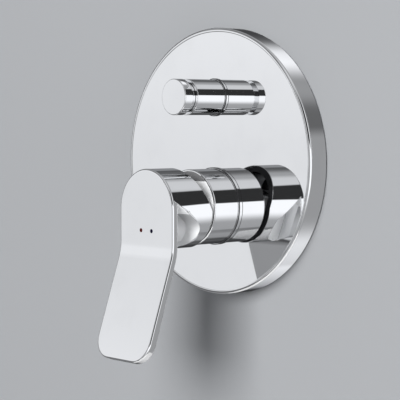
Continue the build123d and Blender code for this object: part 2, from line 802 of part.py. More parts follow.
# Diverter bonnet: skirt with a water window, thread, hexagon and the spigot that carries the sleeve
stem_guide = diverter_stem_radius + running_clearance
skirt_radius = diverter_bore_radius - slip_clearance
with BuildPart() as diverter_bonnet:
    chamber_front = bonnet_thread_back + bonnet_chamber_reach
    turn(
        diverter_axis_z,
        [
            (bonnet_back, skirt_radius - bonnet_skirt_wall),
            (chamber_front, skirt_radius - bonnet_skirt_wall),
            (chamber_front, stem_guide),
            (bonnet_front, stem_guide),
            (bonnet_front, bonnet_spigot_radius),
            (bonnet_hex_front, bonnet_spigot_radius),
            (bonnet_hex_front, bonnet_thread_radius),
            (bonnet_thread_back, bonnet_thread_radius),
            (bonnet_thread_back, skirt_radius),
            (bonnet_back, skirt_radius),
        ],
    )
    with BuildSketch(front_plane(diverter_axis_z, bonnet_hex_back)):
        RegularPolygon(bonnet_hex_radius, 6)
        Circle(bonnet_spigot_radius, mode=Mode.SUBTRACT)
    extrude(amount=bonnet_hex_height)
    turn_ring(
        diverter_axis_z,
        stem_seal_depth - stem_seal_width / 2,
        stem_seal_depth + stem_seal_width / 2,
        stem_guide,
        stem_guide + stem_seal_groove,
        Mode.SUBTRACT,
    )
    window_depth = (bonnet_back + bonnet_thread_back) / 2
    window_top = diverter_axis_z + diverter_bore_radius
    bore_upright(window_depth, bonnet_window_radius, diverter_axis_z, window_top)

with BuildPart() as stem_o_ring:
    stem_seal_bore = diverter_stem_radius + seal_gap
    stem_seal_radius = stem_guide + stem_seal_groove - seal_gap
    turn_o_ring(diverter_axis_z, stem_seal_depth, stem_seal_bore, stem_seal_radius)

with BuildPart() as diverter_seat:
    turn_ring(diverter_axis_z, seat_back, seat_front, seat_hole_radius, diverter_bore_radius - seal_gap)

with BuildPart() as diverter_sleeve:
    turn(
        diverter_axis_z,
        [
            (bonnet_hex_front + seat_gap, diverter_sleeve_bore),
            (diverter_sleeve_front - diverter_sleeve_lip, diverter_sleeve_bore),
            (diverter_sleeve_front - diverter_sleeve_lip, diverter_sleeve_bore - diverter_lip_width),
            (diverter_sleeve_front, diverter_sleeve_bore - diverter_lip_width),
            (diverter_sleeve_front, diverter_sleeve_radius),
            (bonnet_hex_front + seat_gap, diverter_sleeve_radius),
        ],
    )
    outer_rims = diverter_sleeve.edges().filter_by(GeomType.CIRCLE).group_by(SortBy.RADIUS)[-1]
    fillet(outer_rims.sort_by(Axis.Y)[0], diverter_sleeve_edge_radius)

# Moving half of the diverter: knob, stem, washer and nut
with BuildPart() as diverter_knob:
    turn(
        diverter_axis_z,
        [
            (knob_neck_back, diverter_stem_radius + seal_gap),
            (stem_end, diverter_stem_radius + seal_gap),
            (stem_end, 0),
            (knob_front, 0),
            (knob_front, diverter_sleeve_radius),
            (knob_back, diverter_sleeve_radius),
            (knob_back, knob_neck_radius),
            (knob_neck_back, knob_neck_radius),
        ],
    )
    fillet(diverter_knob.edges().group_by(Axis.Y)[0], knob_edge_radius)

with BuildPart() as diverter_stem:
    flange_top = washer_front + stem_flange_thickness
    turn(
        diverter_axis_z,
        [
            (washer_back - washer_nut_thickness, 0),
            (washer_back - washer_nut_thickness, washer_spigot_radius),
            (washer_front, washer_spigot_radius),
            (washer_front, stem_flange_radius),
            (flange_top, stem_flange_radius),
            (flange_top, diverter_stem_radius),
            (stem_end, diverter_stem_radius),
            (stem_end, 0),
        ],
    )

with BuildPart() as diverter_washer:
    washer_bore = washer_spigot_radius + seal_gap
    turn_ring(diverter_axis_z, washer_back, washer_front, washer_bore, washer_radius)

with BuildPart() as washer_nut:
    with BuildSketch(front_plane(diverter_axis_z, washer_back - washer_nut_thickness)):
        RegularPolygon(washer_nut_radius, 6)
        Circle(washer_spigot_radius + seal_gap, mode=Mode.SUBTRACT)
    extrude(amount=washer_nut_thickness)

pieces = {
    "escutcheon_plate": escutcheon_plate,
    "wall_gasket": wall_gasket,
    "plate_seal_large": plate_seal_large,
    "plate_seal_small": plate_seal_small,
    "body_ring": body_ring,
    "diverter_ring": diverter_ring,
    "body_sleeve": body_sleeve,
    "sleeve_o_ring": sleeve_o_ring,
    "valve_body": valve_body,
    "fixing_bracket": fixing_bracket,
    "hot_union": hot_union,
    "cold_union": cold_union,
    "shower_union": shower_union,
    "bath_union": bath_union,
    "cartridge_nut": cartridge_nut,
    "cartridge_housing": cartridge_housing,
    "cartridge_base": cartridge_base,
    "base_seals": base_seals,
    "fixed_disc": fixed_disc,
    "moving_disc": moving_disc,
    "disc_carrier": disc_carrier,
    "cartridge_rotor": cartridge_rotor,
    "stem_pin": stem_pin,
    "cartridge_stem": cartridge_stem,
    "handle": handle,
    "handle_set_screw": handle_set_screw,
    "hot_mark": hot_mark,
    "cold_mark": cold_mark,
    "diverter_bonnet": diverter_bonnet,
    "stem_o_ring": stem_o_ring,
    "diverter_seat": diverter_seat,
    "diverter_sleeve": diverter_sleeve,
    "diverter_knob": diverter_knob,
    "diverter_stem": diverter_stem,
    "diverter_washer": diverter_washer,
    "washer_nut": washer_nut,
}

os.makedirs("parts", exist_ok=True)
for name, piece in pieces.items():
    piece.part.label = name
    export_step(piece.part, f"parts/{name}.step")
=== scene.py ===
"""Concealed shower mixer: finishes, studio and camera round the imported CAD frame."""

import logging
import math
from dataclasses import dataclass, field, replace
from enum import Enum
from typing import Union

import bpy
import numpy as np
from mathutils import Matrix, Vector


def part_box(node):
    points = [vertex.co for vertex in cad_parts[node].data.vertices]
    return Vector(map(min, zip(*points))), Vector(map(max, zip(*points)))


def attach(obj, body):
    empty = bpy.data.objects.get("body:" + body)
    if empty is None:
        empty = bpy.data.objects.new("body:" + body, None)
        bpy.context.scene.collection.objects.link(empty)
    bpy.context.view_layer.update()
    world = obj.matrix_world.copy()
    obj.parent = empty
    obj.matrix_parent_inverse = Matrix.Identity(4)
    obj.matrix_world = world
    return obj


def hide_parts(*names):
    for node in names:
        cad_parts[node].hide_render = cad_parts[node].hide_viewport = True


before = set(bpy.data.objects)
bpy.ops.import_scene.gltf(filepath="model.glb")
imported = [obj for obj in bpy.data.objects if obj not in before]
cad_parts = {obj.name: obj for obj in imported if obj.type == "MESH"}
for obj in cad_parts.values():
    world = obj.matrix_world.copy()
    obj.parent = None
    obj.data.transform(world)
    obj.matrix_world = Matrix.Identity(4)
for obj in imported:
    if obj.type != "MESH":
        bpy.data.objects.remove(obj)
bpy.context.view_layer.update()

LOG = logging.getLogger("shower_mixer")

Colour = tuple[float, float, float]
Triple = tuple[float, float, float]
Operand = Union["Signal", float]
Value = Union["Signal", float, int, tuple]


class Slot(Enum):
    """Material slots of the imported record."""

    CHROME = "chrome"
    BRASS = "brass"
    PLASTIC = "cartridge_plastic"
    CERAMIC = "ceramic"
    RUBBER = "rubber"
    FOAM = "foam"
    STEEL = "steel"
    HOT = "hot_enamel"
    COLD = "cold_enamel"


class Side(Enum):
    """Directions that a pipe union's mouth can face."""

    LEFT = (-1.0, 0.0, 0.0)
    RIGHT = (1.0, 0.0, 0.0)
    UP = (0.0, 0.0, 1.0)
    DOWN = (0.0, 0.0, -1.0)


class Wrap(Enum):
    """Ways in which the ends of a grid of points join."""

    OPEN = "no ends join"
    TUBE = "the last column joins the first"
    TORUS = "the last column joins the first, and the last row the first"


class Signal:
    """A shader socket that takes part in Python expressions."""

    def __init__(self, bench: "NodeBench", socket: bpy.types.NodeSocket) -> None:
        """Wrap a socket of the bench's tree."""
        self.bench = bench
        self.socket = socket

    def other(self, name: str) -> "Signal":
        """Give another output of the same node."""
        return Signal(self.bench, self.socket.node.outputs[name])

    def maths(self, operation: str, first: Operand, second: Operand) -> "Signal":
        """Add a Math node for one operation on two operands."""
        return self.bench.make("ShaderNodeMath", {"operation": operation}, {0: first, 1: second})

    def ramp(self, low: float, high: float) -> "Signal":
        """Rise smoothly from 0 to 1 between two values.

        Args:
            low: The value below which the result is 0.
            high: The value above which the result is 1.

        Returns:
            The smooth step.
        """
        return self.bench.make(
            "ShaderNodeMapRange",
            {"interpolation_type": "SMOOTHSTEP"},
            {"Value": self, "From Min": low, "From Max": high},
        )

    def __add__(self, other: Operand) -> "Signal":
        """Add."""
        return self.maths("ADD", self, other)

    def __radd__(self, other: Operand) -> "Signal":
        """Add, from the right."""
        return self.maths("ADD", other, self)

    def __sub__(self, other: Operand) -> "Signal":
        """Subtract."""
        return self.maths("SUBTRACT", self, other)

    def __rsub__(self, other: Operand) -> "Signal":
        """Subtract from a number."""
        return self.maths("SUBTRACT", other, self)

    def __mul__(self, other: Operand) -> "Signal":
        """Multiply."""
        return self.maths("MULTIPLY", self, other)

    def __rmul__(self, other: Operand) -> "Signal":
        """Multiply, from the right."""
        return self.maths("MULTIPLY", other, self)

    def __neg__(self) -> "Signal":
        """Change the sign."""
        return self.maths("MULTIPLY", self, -1.0)


class NodeBench:
    """Adds nodes to one node tree."""

    def __init__(self, tree: bpy.types.NodeTree) -> None:
        """Start with an empty tree."""
        self.tree = tree
        tree.nodes.clear()

    def make(
        self,
        kind: str,
        settings: dict[str, object],
        inputs: dict[Union[str, int], Value],
        output: Union[str, int] = 0,
    ) -> Signal:
        """Add one node.

        Args:
            kind: The node's type.
            settings: The node's own properties, which are set first.
            inputs: Values or signals for its sockets, by name or number.
            output: The output that the result stands for.

        Returns:
            The chosen output, or the first input of a node without outputs.
        """
        node = self.tree.nodes.new(kind)
        for name, value in settings.items():
            setattr(node, name, value)
        for key, value in inputs.items():
            if isinstance(value, Signal):
                self.tree.links.new(value.socket, node.inputs[key])
            else:
                node.inputs[key].default_value = value
        return Signal(self, node.outputs[output] if node.outputs else node.inputs[0])

    def blend(self, first: Value, second: Value, factor: Operand) -> Signal:
        """Mix two colours by a factor."""
        return self.make("ShaderNodeMix", {"data_type": "RGBA"}, {0: factor, 6: first, 7: second}, 2)

    def noise(self, place: Signal, scale: float, detail: float = 2.0) -> Signal:
        """Add a noise texture and give its value."""
        return self.make("ShaderNodeTexNoise", {}, {"Vector": place, "Scale": scale, "Detail": detail})

    def place(self) -> Signal:
        """Give the Object coordinates, which are the frame's metres."""
        return self.make("ShaderNodeTexCoord", {}, {}, "Object")

    def bump(self, height: Signal, strength: float, distance: float) -> Signal:
        """Turn a height into a normal."""
        return self.make(
            "ShaderNodeBump", {}, {"Strength": strength, "Distance": distance, "Height": height}
        )

    def principled(self, sockets: dict[str, Value]) -> Signal:
        """Add a Principled shader with the given sockets."""
        return self.make("ShaderNodeBsdfPrincipled", {}, sockets)


def rgba(colour: Colour) -> tuple[float, float, float, float]:
    """Give a colour its alpha of 1."""
    return (*colour, 1.0)


def shade(colour: Colour, factor: float) -> Colour:
    """Darken or lighten a colour by a factor."""
    return tuple(channel * factor for channel in colour)


@dataclass(frozen=True)
class Finish:
    """A surface finish of the mixer: its name, its slot in the record and its main values."""

    name: str
    slot: Slot
    tint: Colour
    roughness: float

    def surface(self, bench: NodeBench) -> Signal:
        """Build the shader; each kind of finish has its own."""
        raise NotImplementedError(self.name)

    def material(self) -> bpy.types.Material:
        """Make the finish's material once.

        Returns:
            The material that carries the finish's name.
        """
        known = bpy.data.materials.get(self.name)
        if known is not None:
            return known
        made = bpy.data.materials.new(self.name)
        made.use_nodes = True
        bench = NodeBench(made.node_tree)
        bench.make("ShaderNodeOutputMaterial", {}, {"Surface": self.surface(bench)})
        return made


@dataclass(frozen=True)
class SatinPaintedLightZone:
    """A part of a chrome piece round a valve's axis, made satin, whose tint is painted light or painted
    shade.

    Lengths are in metres; a depth is a distance from the wall.
    """

    axis_height: float
    radius: float
    depths: tuple[float, float]
    top: float
    # The tint is painted light or painted shade, not the metal's own colour.
    tint: Colour
    metallic: float
    roughness: float
    edge: float = 0.0002
    fade: float = 0.0002

    def mask(self, bench: NodeBench) -> Signal:
        """Give 1 inside the zone's radius, between its depths and below its top.

        Args:
            bench: The bench of the material's tree.

        Returns:
            The mask, which fades to 0 at the zone's edges.
        """
        across = bench.make("ShaderNodeSeparateXYZ", {}, {0: bench.place()}, "X")
        depth, height = -across.other("Y"), across.other("Z")
        rise = height - self.axis_height
        radius = across.maths("SQRT", across * across + rise * rise, 0.0)
        back, front = self.depths
        return (
            (1.0 - radius.ramp(self.radius - self.edge, self.radius))
            * depth.ramp(back, back + self.edge)
            * (1.0 - depth.ramp(front - self.edge, front))
            * (1.0 - height.ramp(self.top - self.fade, self.top))
        )


@dataclass(frozen=True)
class PolishedChrome(Finish):
    """Bright chrome plate with a trace of haze where it was wiped, made satin in its zones, which carry
    painted light and painted shade.
    """

    haze: float = 0.03
    haze_scale: float = 38.0
    haze_detail: float = 3.0
    haze_band: tuple[float, float] = (0.45, 0.8)
    haze_shade: float = 0.97
    edge_tint: Colour = (0.32, 0.322, 0.328)
    zones: tuple[SatinPaintedLightZone, ...] = ()

    def surface(self, bench: NodeBench) -> Signal:
        """Vary the gloss and the tint by one cloud of haze, and lay each zone's satin and its painted
        light or painted shade over it.

        Args:
            bench: The bench of the material's tree.

        Returns:
            The shader.
        """
        cloud = bench.noise(bench.place(), self.haze_scale, self.haze_detail).ramp(*self.haze_band)
        hazed = shade(self.tint, self.haze_shade)
        tint: Value = bench.blend(rgba(self.tint), rgba(hazed), cloud)
        roughness = self.roughness + self.haze * cloud
        metallic: Operand = 1.0
        # Each zone turns the chrome satin and lays its painted light or painted shade tint over it.
        for zone in self.zones:
            painted_zone = zone.mask(bench)
            tint = bench.blend(tint, rgba(zone.tint), painted_zone)
            roughness = roughness + (zone.roughness - roughness) * painted_zone
            metallic = metallic + (zone.metallic - metallic) * painted_zone
        return bench.principled(
            {
                "Base Color": tint,
                "Metallic": metallic,
                "Roughness": roughness,
                "Specular Tint": rgba(self.edge_tint),
            }
        )


@dataclass(frozen=True)
class CastBrass(Finish):
    """Sand-cast brass: a grainy skin with dull patches."""

    grain_scale: float = 1100.0
    grain_detail: float = 4.0
    grain_strength: float = 0.7
    grain_depth: float = 0.00012
    patch_scale: float = 55.0
    patch_detail: float = 5.0
    patch_band: tuple[float, float] = (0.4, 0.7)
    patch_shade: float = 0.62
    patch_dulling: float = 0.18

    def surface(self, bench: NodeBench) -> Signal:
        """Roughen the skin by a fine grain, and dull it in patches.

        Args:
            bench: The bench of the material's tree.

        Returns:
            The shader.
        """
        place = bench.place()
        grain = bench.noise(place, self.grain_scale, self.grain_detail)
        patch = bench.noise(place, self.patch_scale, self.patch_detail).ramp(*self.patch_band)
        dulled = shade(self.tint, self.patch_shade)
        return bench.principled(
            {
                "Base Color": bench.blend(rgba(self.tint), rgba(dulled), patch),
                "Metallic": 1.0,
                "Roughness": self.roughness + self.patch_dulling * patch,
                "Normal": bench.bump(grain, self.grain_strength, self.grain_depth),
            }
        )


@dataclass(frozen=True)
class TurnedBrass(Finish):
    """Machined brass with fine tool marks round its axis and a light tarnish."""

    mark_scale: float = 1500.0
    mark_strength: float = 0.15
    mark_depth: float = 0.00005
    mark_dulling: float = 0.1
    tarnish_scale: float = 70.0
    tarnish_detail: float = 4.0
    tarnish_band: tuple[float, float] = (0.45, 0.75)
    tarnish_shade: float = 0.75
    tarnish_dulling: float = 0.1
    stretch: Triple = (0.08, 1.0, 0.08)

    def surface(self, bench: NodeBench) -> Signal:
        """Draw the tool marks as a noise that varies much faster along the piece's axis.

        Args:
            bench: The bench of the material's tree.

        Returns:
            The shader.
        """
        place = bench.place()
        stretched = bench.make("ShaderNodeMapping", {}, {"Vector": place, "Scale": self.stretch})
        marks = bench.noise(stretched, self.mark_scale)
        cloud = bench.noise(place, self.tarnish_scale, self.tarnish_detail)
        tarnish = cloud.ramp(*self.tarnish_band)
        tarnished = shade(self.tint, self.tarnish_shade)
        worn = self.roughness + self.mark_dulling * marks + self.tarnish_dulling * tarnish
        return bench.principled(
            {
                "Base Color": bench.blend(rgba(self.tint), rgba(tarnished), tarnish),
                "Metallic": 1.0,
                "Roughness": worn,
                "Normal": bench.bump(marks, self.mark_strength, self.mark_depth),
            }
        )


@dataclass(frozen=True)
class Moulded(Finish):
    """Moulded plastic, rubber or foam, with a grain of its own size."""

    grain_scale: float = 1500.0
    grain_depth: float = 0.00004
    contrast: float = 0.9
    gloss: float = 0.5
    grain_detail: float = 3.0
    grain_strength: float = 0.5
    grain_dulling: float = 0.12
    cloud_scale: float = 90.0
    cloud_detail: float = 3.0

    def surface(self, bench: NodeBench) -> Signal:
        """Grain the surface and cloud its colour a little.

        Args:
            bench: The bench of the material's tree.

        Returns:
            The shader.
        """
        place = bench.place()
        grain = bench.noise(place, self.grain_scale, self.grain_detail)
        cloud = bench.noise(place, self.cloud_scale, self.cloud_detail)
        clouded = shade(self.tint, self.contrast)
        return bench.principled(
            {
                "Base Color": bench.blend(rgba(self.tint), rgba(clouded), cloud),
                "Roughness": self.roughness + self.grain_dulling * grain,
                "Specular IOR Level": self.gloss,
                "Normal": bench.bump(grain, self.grain_strength, self.grain_depth),
            }
        )


@dataclass(frozen=True)
class BrushedSteel(Finish):
    """Stainless steel with brush lines."""

    line_scale: float = 2200.0
    line_strength: float = 0.2
    line_depth: float = 0.00003
    line_shade: float = 0.85
    line_dulling: float = 0.15
    stretch: Triple = (0.03, 1.0, 1.0)

    def surface(self, bench: NodeBench) -> Signal:
        """Stretch a noise along x for the brush lines.

        Args:
            bench: The bench of the material's tree.

        Returns:
            The shader.
        """
        stretched = bench.make(
            "ShaderNodeMapping", {}, {"Vector": bench.place(), "Scale": self.stretch}
        )
        lines = bench.noise(stretched, self.line_scale)
        lined = shade(self.tint, self.line_shade)
        return bench.principled(
            {
                "Base Color": bench.blend(rgba(self.tint), rgba(lined), lines),
                "Metallic": 1.0,
                "Roughness": self.roughness + self.line_dulling * lines,
                "Normal": bench.bump(lines, self.line_strength, self.line_depth),
            }
        )


@dataclass(frozen=True)
class Enamel(Finish):
    """Deep enamel in a small recess, a little uneven in colour and gloss."""

    gloss: float = 0.03
    cloud_scale: float = 900.0
    cloud_shade: float = 0.7
    cloud_dulling: float = 0.15

    def surface(self, bench: NodeBench) -> Signal:
        """Cloud the colour and the roughness.

        Args:
            bench: The bench of the material's tree.

        Returns:
            The shader.
        """
        cloud = bench.noise(bench.place(), self.cloud_scale)
        clouded = shade(self.tint, self.cloud_shade)
        return bench.principled(
            {
                "Base Color": bench.blend(rgba(self.tint), rgba(clouded), cloud),
                "Roughness": self.roughness + self.cloud_dulling * cloud,
                "Specular IOR Level": self.gloss,
            }
        )


CHROME = PolishedChrome("polished_chrome", Slot.CHROME, (0.90, 0.903, 0.908), 0.02)
CASTING = CastBrass("cast_brass", Slot.BRASS, (0.60, 0.43, 0.20), 0.38)
TURNED = TurnedBrass("turned_brass", Slot.BRASS, (0.70, 0.52, 0.26), 0.2)
TURNED_ACROSS = replace(TURNED, name="turned_brass_across", stretch=(1.0, 0.08, 0.08))
TURNED_UPRIGHT = replace(TURNED, name="turned_brass_upright", stretch=(0.08, 0.08, 1.0))
PLASTIC = Moulded("moulded_plastic", Slot.PLASTIC, (0.62, 0.63, 0.64), 0.42)
CERAMIC = Moulded(
    "lapped_ceramic",
    Slot.CERAMIC,
    (0.80, 0.78, 0.73),
    0.12,
    grain_scale=2500.0,
    grain_depth=0.00001,
)
RUBBER = Moulded(
    "seal_rubber",
    Slot.RUBBER,
    (0.014, 0.014, 0.015),
    0.5,
    grain_scale=1800.0,
    grain_depth=0.00003,
    contrast=0.7,
    gloss=0.15,
)
FOAM = Moulded(
    "gasket_foam",
    Slot.FOAM,
    (0.30, 0.31, 0.32),
    0.85,
    grain_scale=1300.0,
    grain_depth=0.0003,
    contrast=0.75,
)
STEEL = BrushedSteel("brushed_steel", Slot.STEEL, (0.52, 0.52, 0.51), 0.25)
HOT_ENAMEL = Enamel("red_enamel", Slot.HOT, (0.032, 0.003, 0.002), 0.4)
COLD_ENAMEL = Enamel("blue_enamel", Slot.COLD, (0.002, 0.002, 0.009), 0.4)


def dress(finish: Finish, *nodes: str) -> None:
    """Give CAD nodes their finish.

    Args:
        finish: The finish that all of their faces take.
        nodes: The nodes' names.
    """
    for node in nodes:
        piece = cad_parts[node]
        piece.data.materials.clear()
        piece.data.materials.append(finish.material())
        LOG.info("%s takes %s", node, finish.name)


def full_turn(places: int) -> np.ndarray:
    """Give the angles of a full turn as one row, in the order that makes faces point outwards."""
    return np.linspace(0.0, -2.0 * math.pi, places, endpoint=False)[None, :]


def turn_section(
    radius: np.ndarray, depth: np.ndarray, axis_height: float, places: int
) -> np.ndarray:
    """Turn a section about an axis that stands square to the wall.

    Across and up from the axis, a point follows the cosine and the sine of the turn.

    Args:
        radius: Distances of the section's points from the axis.
        depth: Distances of the section's points from the wall.
        axis_height: The axis's height.
        places: The number of places round the axis.

    Returns:
        The points, as rows by places by 3.
    """
    turn = full_turn(places)
    across = radius[:, None] * np.cos(turn)
    height = axis_height + radius[:, None] * np.sin(turn)
    return np.stack([across, -depth[:, None] + 0.0 * turn, height], axis=-1)


def grid_mesh(name: str, points: np.ndarray, wrap: Wrap, crease: float = 30.0) -> bpy.types.Object:
    """Make a mesh object from a grid of points, with a quad between each four neighbours.

    Args:
        name: The object's name.
        points: Places of the points, as rows by columns by 3.
        wrap: Which ends of the grid join.
        crease: The angle in degrees above which an edge stays sharp.

    Returns:
        The linked object, at the origin.
    """
    rows, columns = points.shape[:2]
    index = np.arange(rows * columns).reshape(rows, columns)
    along = index if wrap is Wrap.OPEN else np.concatenate([index, index[:, :1]], axis=1)
    along = np.concatenate([along, along[:1]]) if wrap is Wrap.TORUS else along
    quads = np.stack([along[:-1, :-1], along[:-1, 1:], along[1:, 1:], along[1:, :-1]], axis=-1)
    mesh = bpy.data.meshes.new(name)
    mesh.from_pydata(points.reshape(-1, 3).tolist(), [], quads.reshape(-1, 4).tolist())
    mesh.polygons.foreach_set("use_smooth", np.ones(len(mesh.polygons), dtype=bool))
    mesh.set_sharp_from_angle(angle=math.radians(crease))
    mesh.update()
    made = bpy.data.objects.new(name, mesh)
    bpy.context.scene.collection.objects.link(made)
    return made


def add_piece(piece: bpy.types.Object, finish: Finish, body: str) -> None:
    """Give a new piece its finish and let it ride on a body.

    Args:
        piece: The piece, in place.
        finish: The finish that all of its faces take.
        body: The CAD body that carries it.
    """
    piece.data.materials.append(finish.material())
    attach(piece, body)
    LOG.info("%s rides on %s", piece.name, body)


@dataclass
class SealLipShadeLine:
    """The thin black lip of a plate seal round the front edge of a bead, which also stands in for the
    dark shade line there.
    """

    name: str
    bead: str
    half_width: float = 0.00038
    half_height: float = 0.00032
    overlap: float = 0.0003
    crest: float = 0.00005
    turns: int = 240
    steps: int = 20

    def points(self) -> np.ndarray:
        """Turn an ellipse about the bead's axis.

        Along the ellipse, the depth follows the cosine and the radius the sine of one angle.

        Returns:
            The lip's points, as steps by turns by 3.
        """
        low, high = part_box(self.bead)
        arc = np.linspace(0.0, 2.0 * math.pi, self.steps, endpoint=False)
        middle = (high.x - low.x) / 2.0 + self.crest - self.half_height
        radius = middle + self.half_height * np.sin(arc)
        depth = -low.y - self.overlap + self.half_width * np.cos(arc)
        return turn_section(radius, depth, (low.z + high.z) / 2.0, self.turns)

    def build(self) -> None:
        """Build the lip, which also stands in for the shade line, on the valve."""
        add_piece(grid_mesh(self.name, self.points(), Wrap.TORUS), RUBBER, "valve")


@dataclass
class PlateEdge:
    """The polished rolled edge of the plate, laid round its front corner."""

    name: str = "plate_edge"
    plate: str = "escutcheon_plate"
    roll_width: float = 0.002
    roll_depth: float = 0.0014
    proud: float = 0.0002
    cove: float = 0.0005
    sunk: float = 0.0003
    turns: int = 720
    steps: int = 28
    cove_steps: int = 7

    def points(self) -> np.ndarray:
        """Turn the edge's section about the plate's axis.

        The section rises from the face by half a cosine, runs to the side along a quarter of an
        ellipse and goes back inside the plate along the same line, a little deeper.

        Returns:
            The edge's points, as rows by turns by 3.
        """
        low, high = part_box(self.plate)
        rise = np.linspace(0.0, 1.0, self.cove_steps, endpoint=False)
        arc = np.linspace(math.pi / 2.0, 0.0, self.steps)
        inset = np.concatenate(
            [self.roll_width + self.cove * (1.0 - rise), self.roll_width * (1.0 - np.cos(arc))]
        )
        crown = np.concatenate(
            [
                self.proud * (0.5 - 0.5 * np.cos(math.pi * rise)),
                self.proud - self.roll_depth * (1.0 - np.sin(arc)),
            ]
        )
        inset = np.concatenate([inset, inset[::-1] + self.sunk])
        crown = np.concatenate([crown, crown[::-1] - self.proud - self.sunk])
        radius = (high.x - low.x) / 2.0 - inset
        return turn_section(radius, crown - low.y, (low.z + high.z) / 2.0, self.turns)

    def build(self) -> None:
        """Build the edge on the valve."""
        add_piece(grid_mesh(self.name, self.points(), Wrap.TORUS), CHROME, "valve")


@dataclass
class WallPlate:
    """The round plate on the wall with its gasket, seals and beads."""

    chrome: tuple[str, ...] = ("escutcheon_plate", "body_ring", "diverter_ring")
    rubber: tuple[str, ...] = ("plate_seal_large", "plate_seal_small")
    foam: tuple[str, ...] = ("wall_gasket",)
    lip_shade_lines: tuple[SealLipShadeLine, ...] = (
        SealLipShadeLine("large_seal_lip_shade_line", "body_ring"),
        SealLipShadeLine("small_seal_lip_shade_line", "diverter_ring"),
    )
    edge: PlateEdge = field(default_factory=PlateEdge)

    def dress(self) -> None:
        """Give each piece its finish, and add the plate's edge and the seal lips, which also stand in
        for the dark shade lines at the beads.
        """
        self.edge.build()
        for lip_shade_line in self.lip_shade_lines:
            lip_shade_line.build()
        dress(CHROME, *self.chrome)
        dress(RUBBER, *self.rubber)
        dress(FOAM, *self.foam)


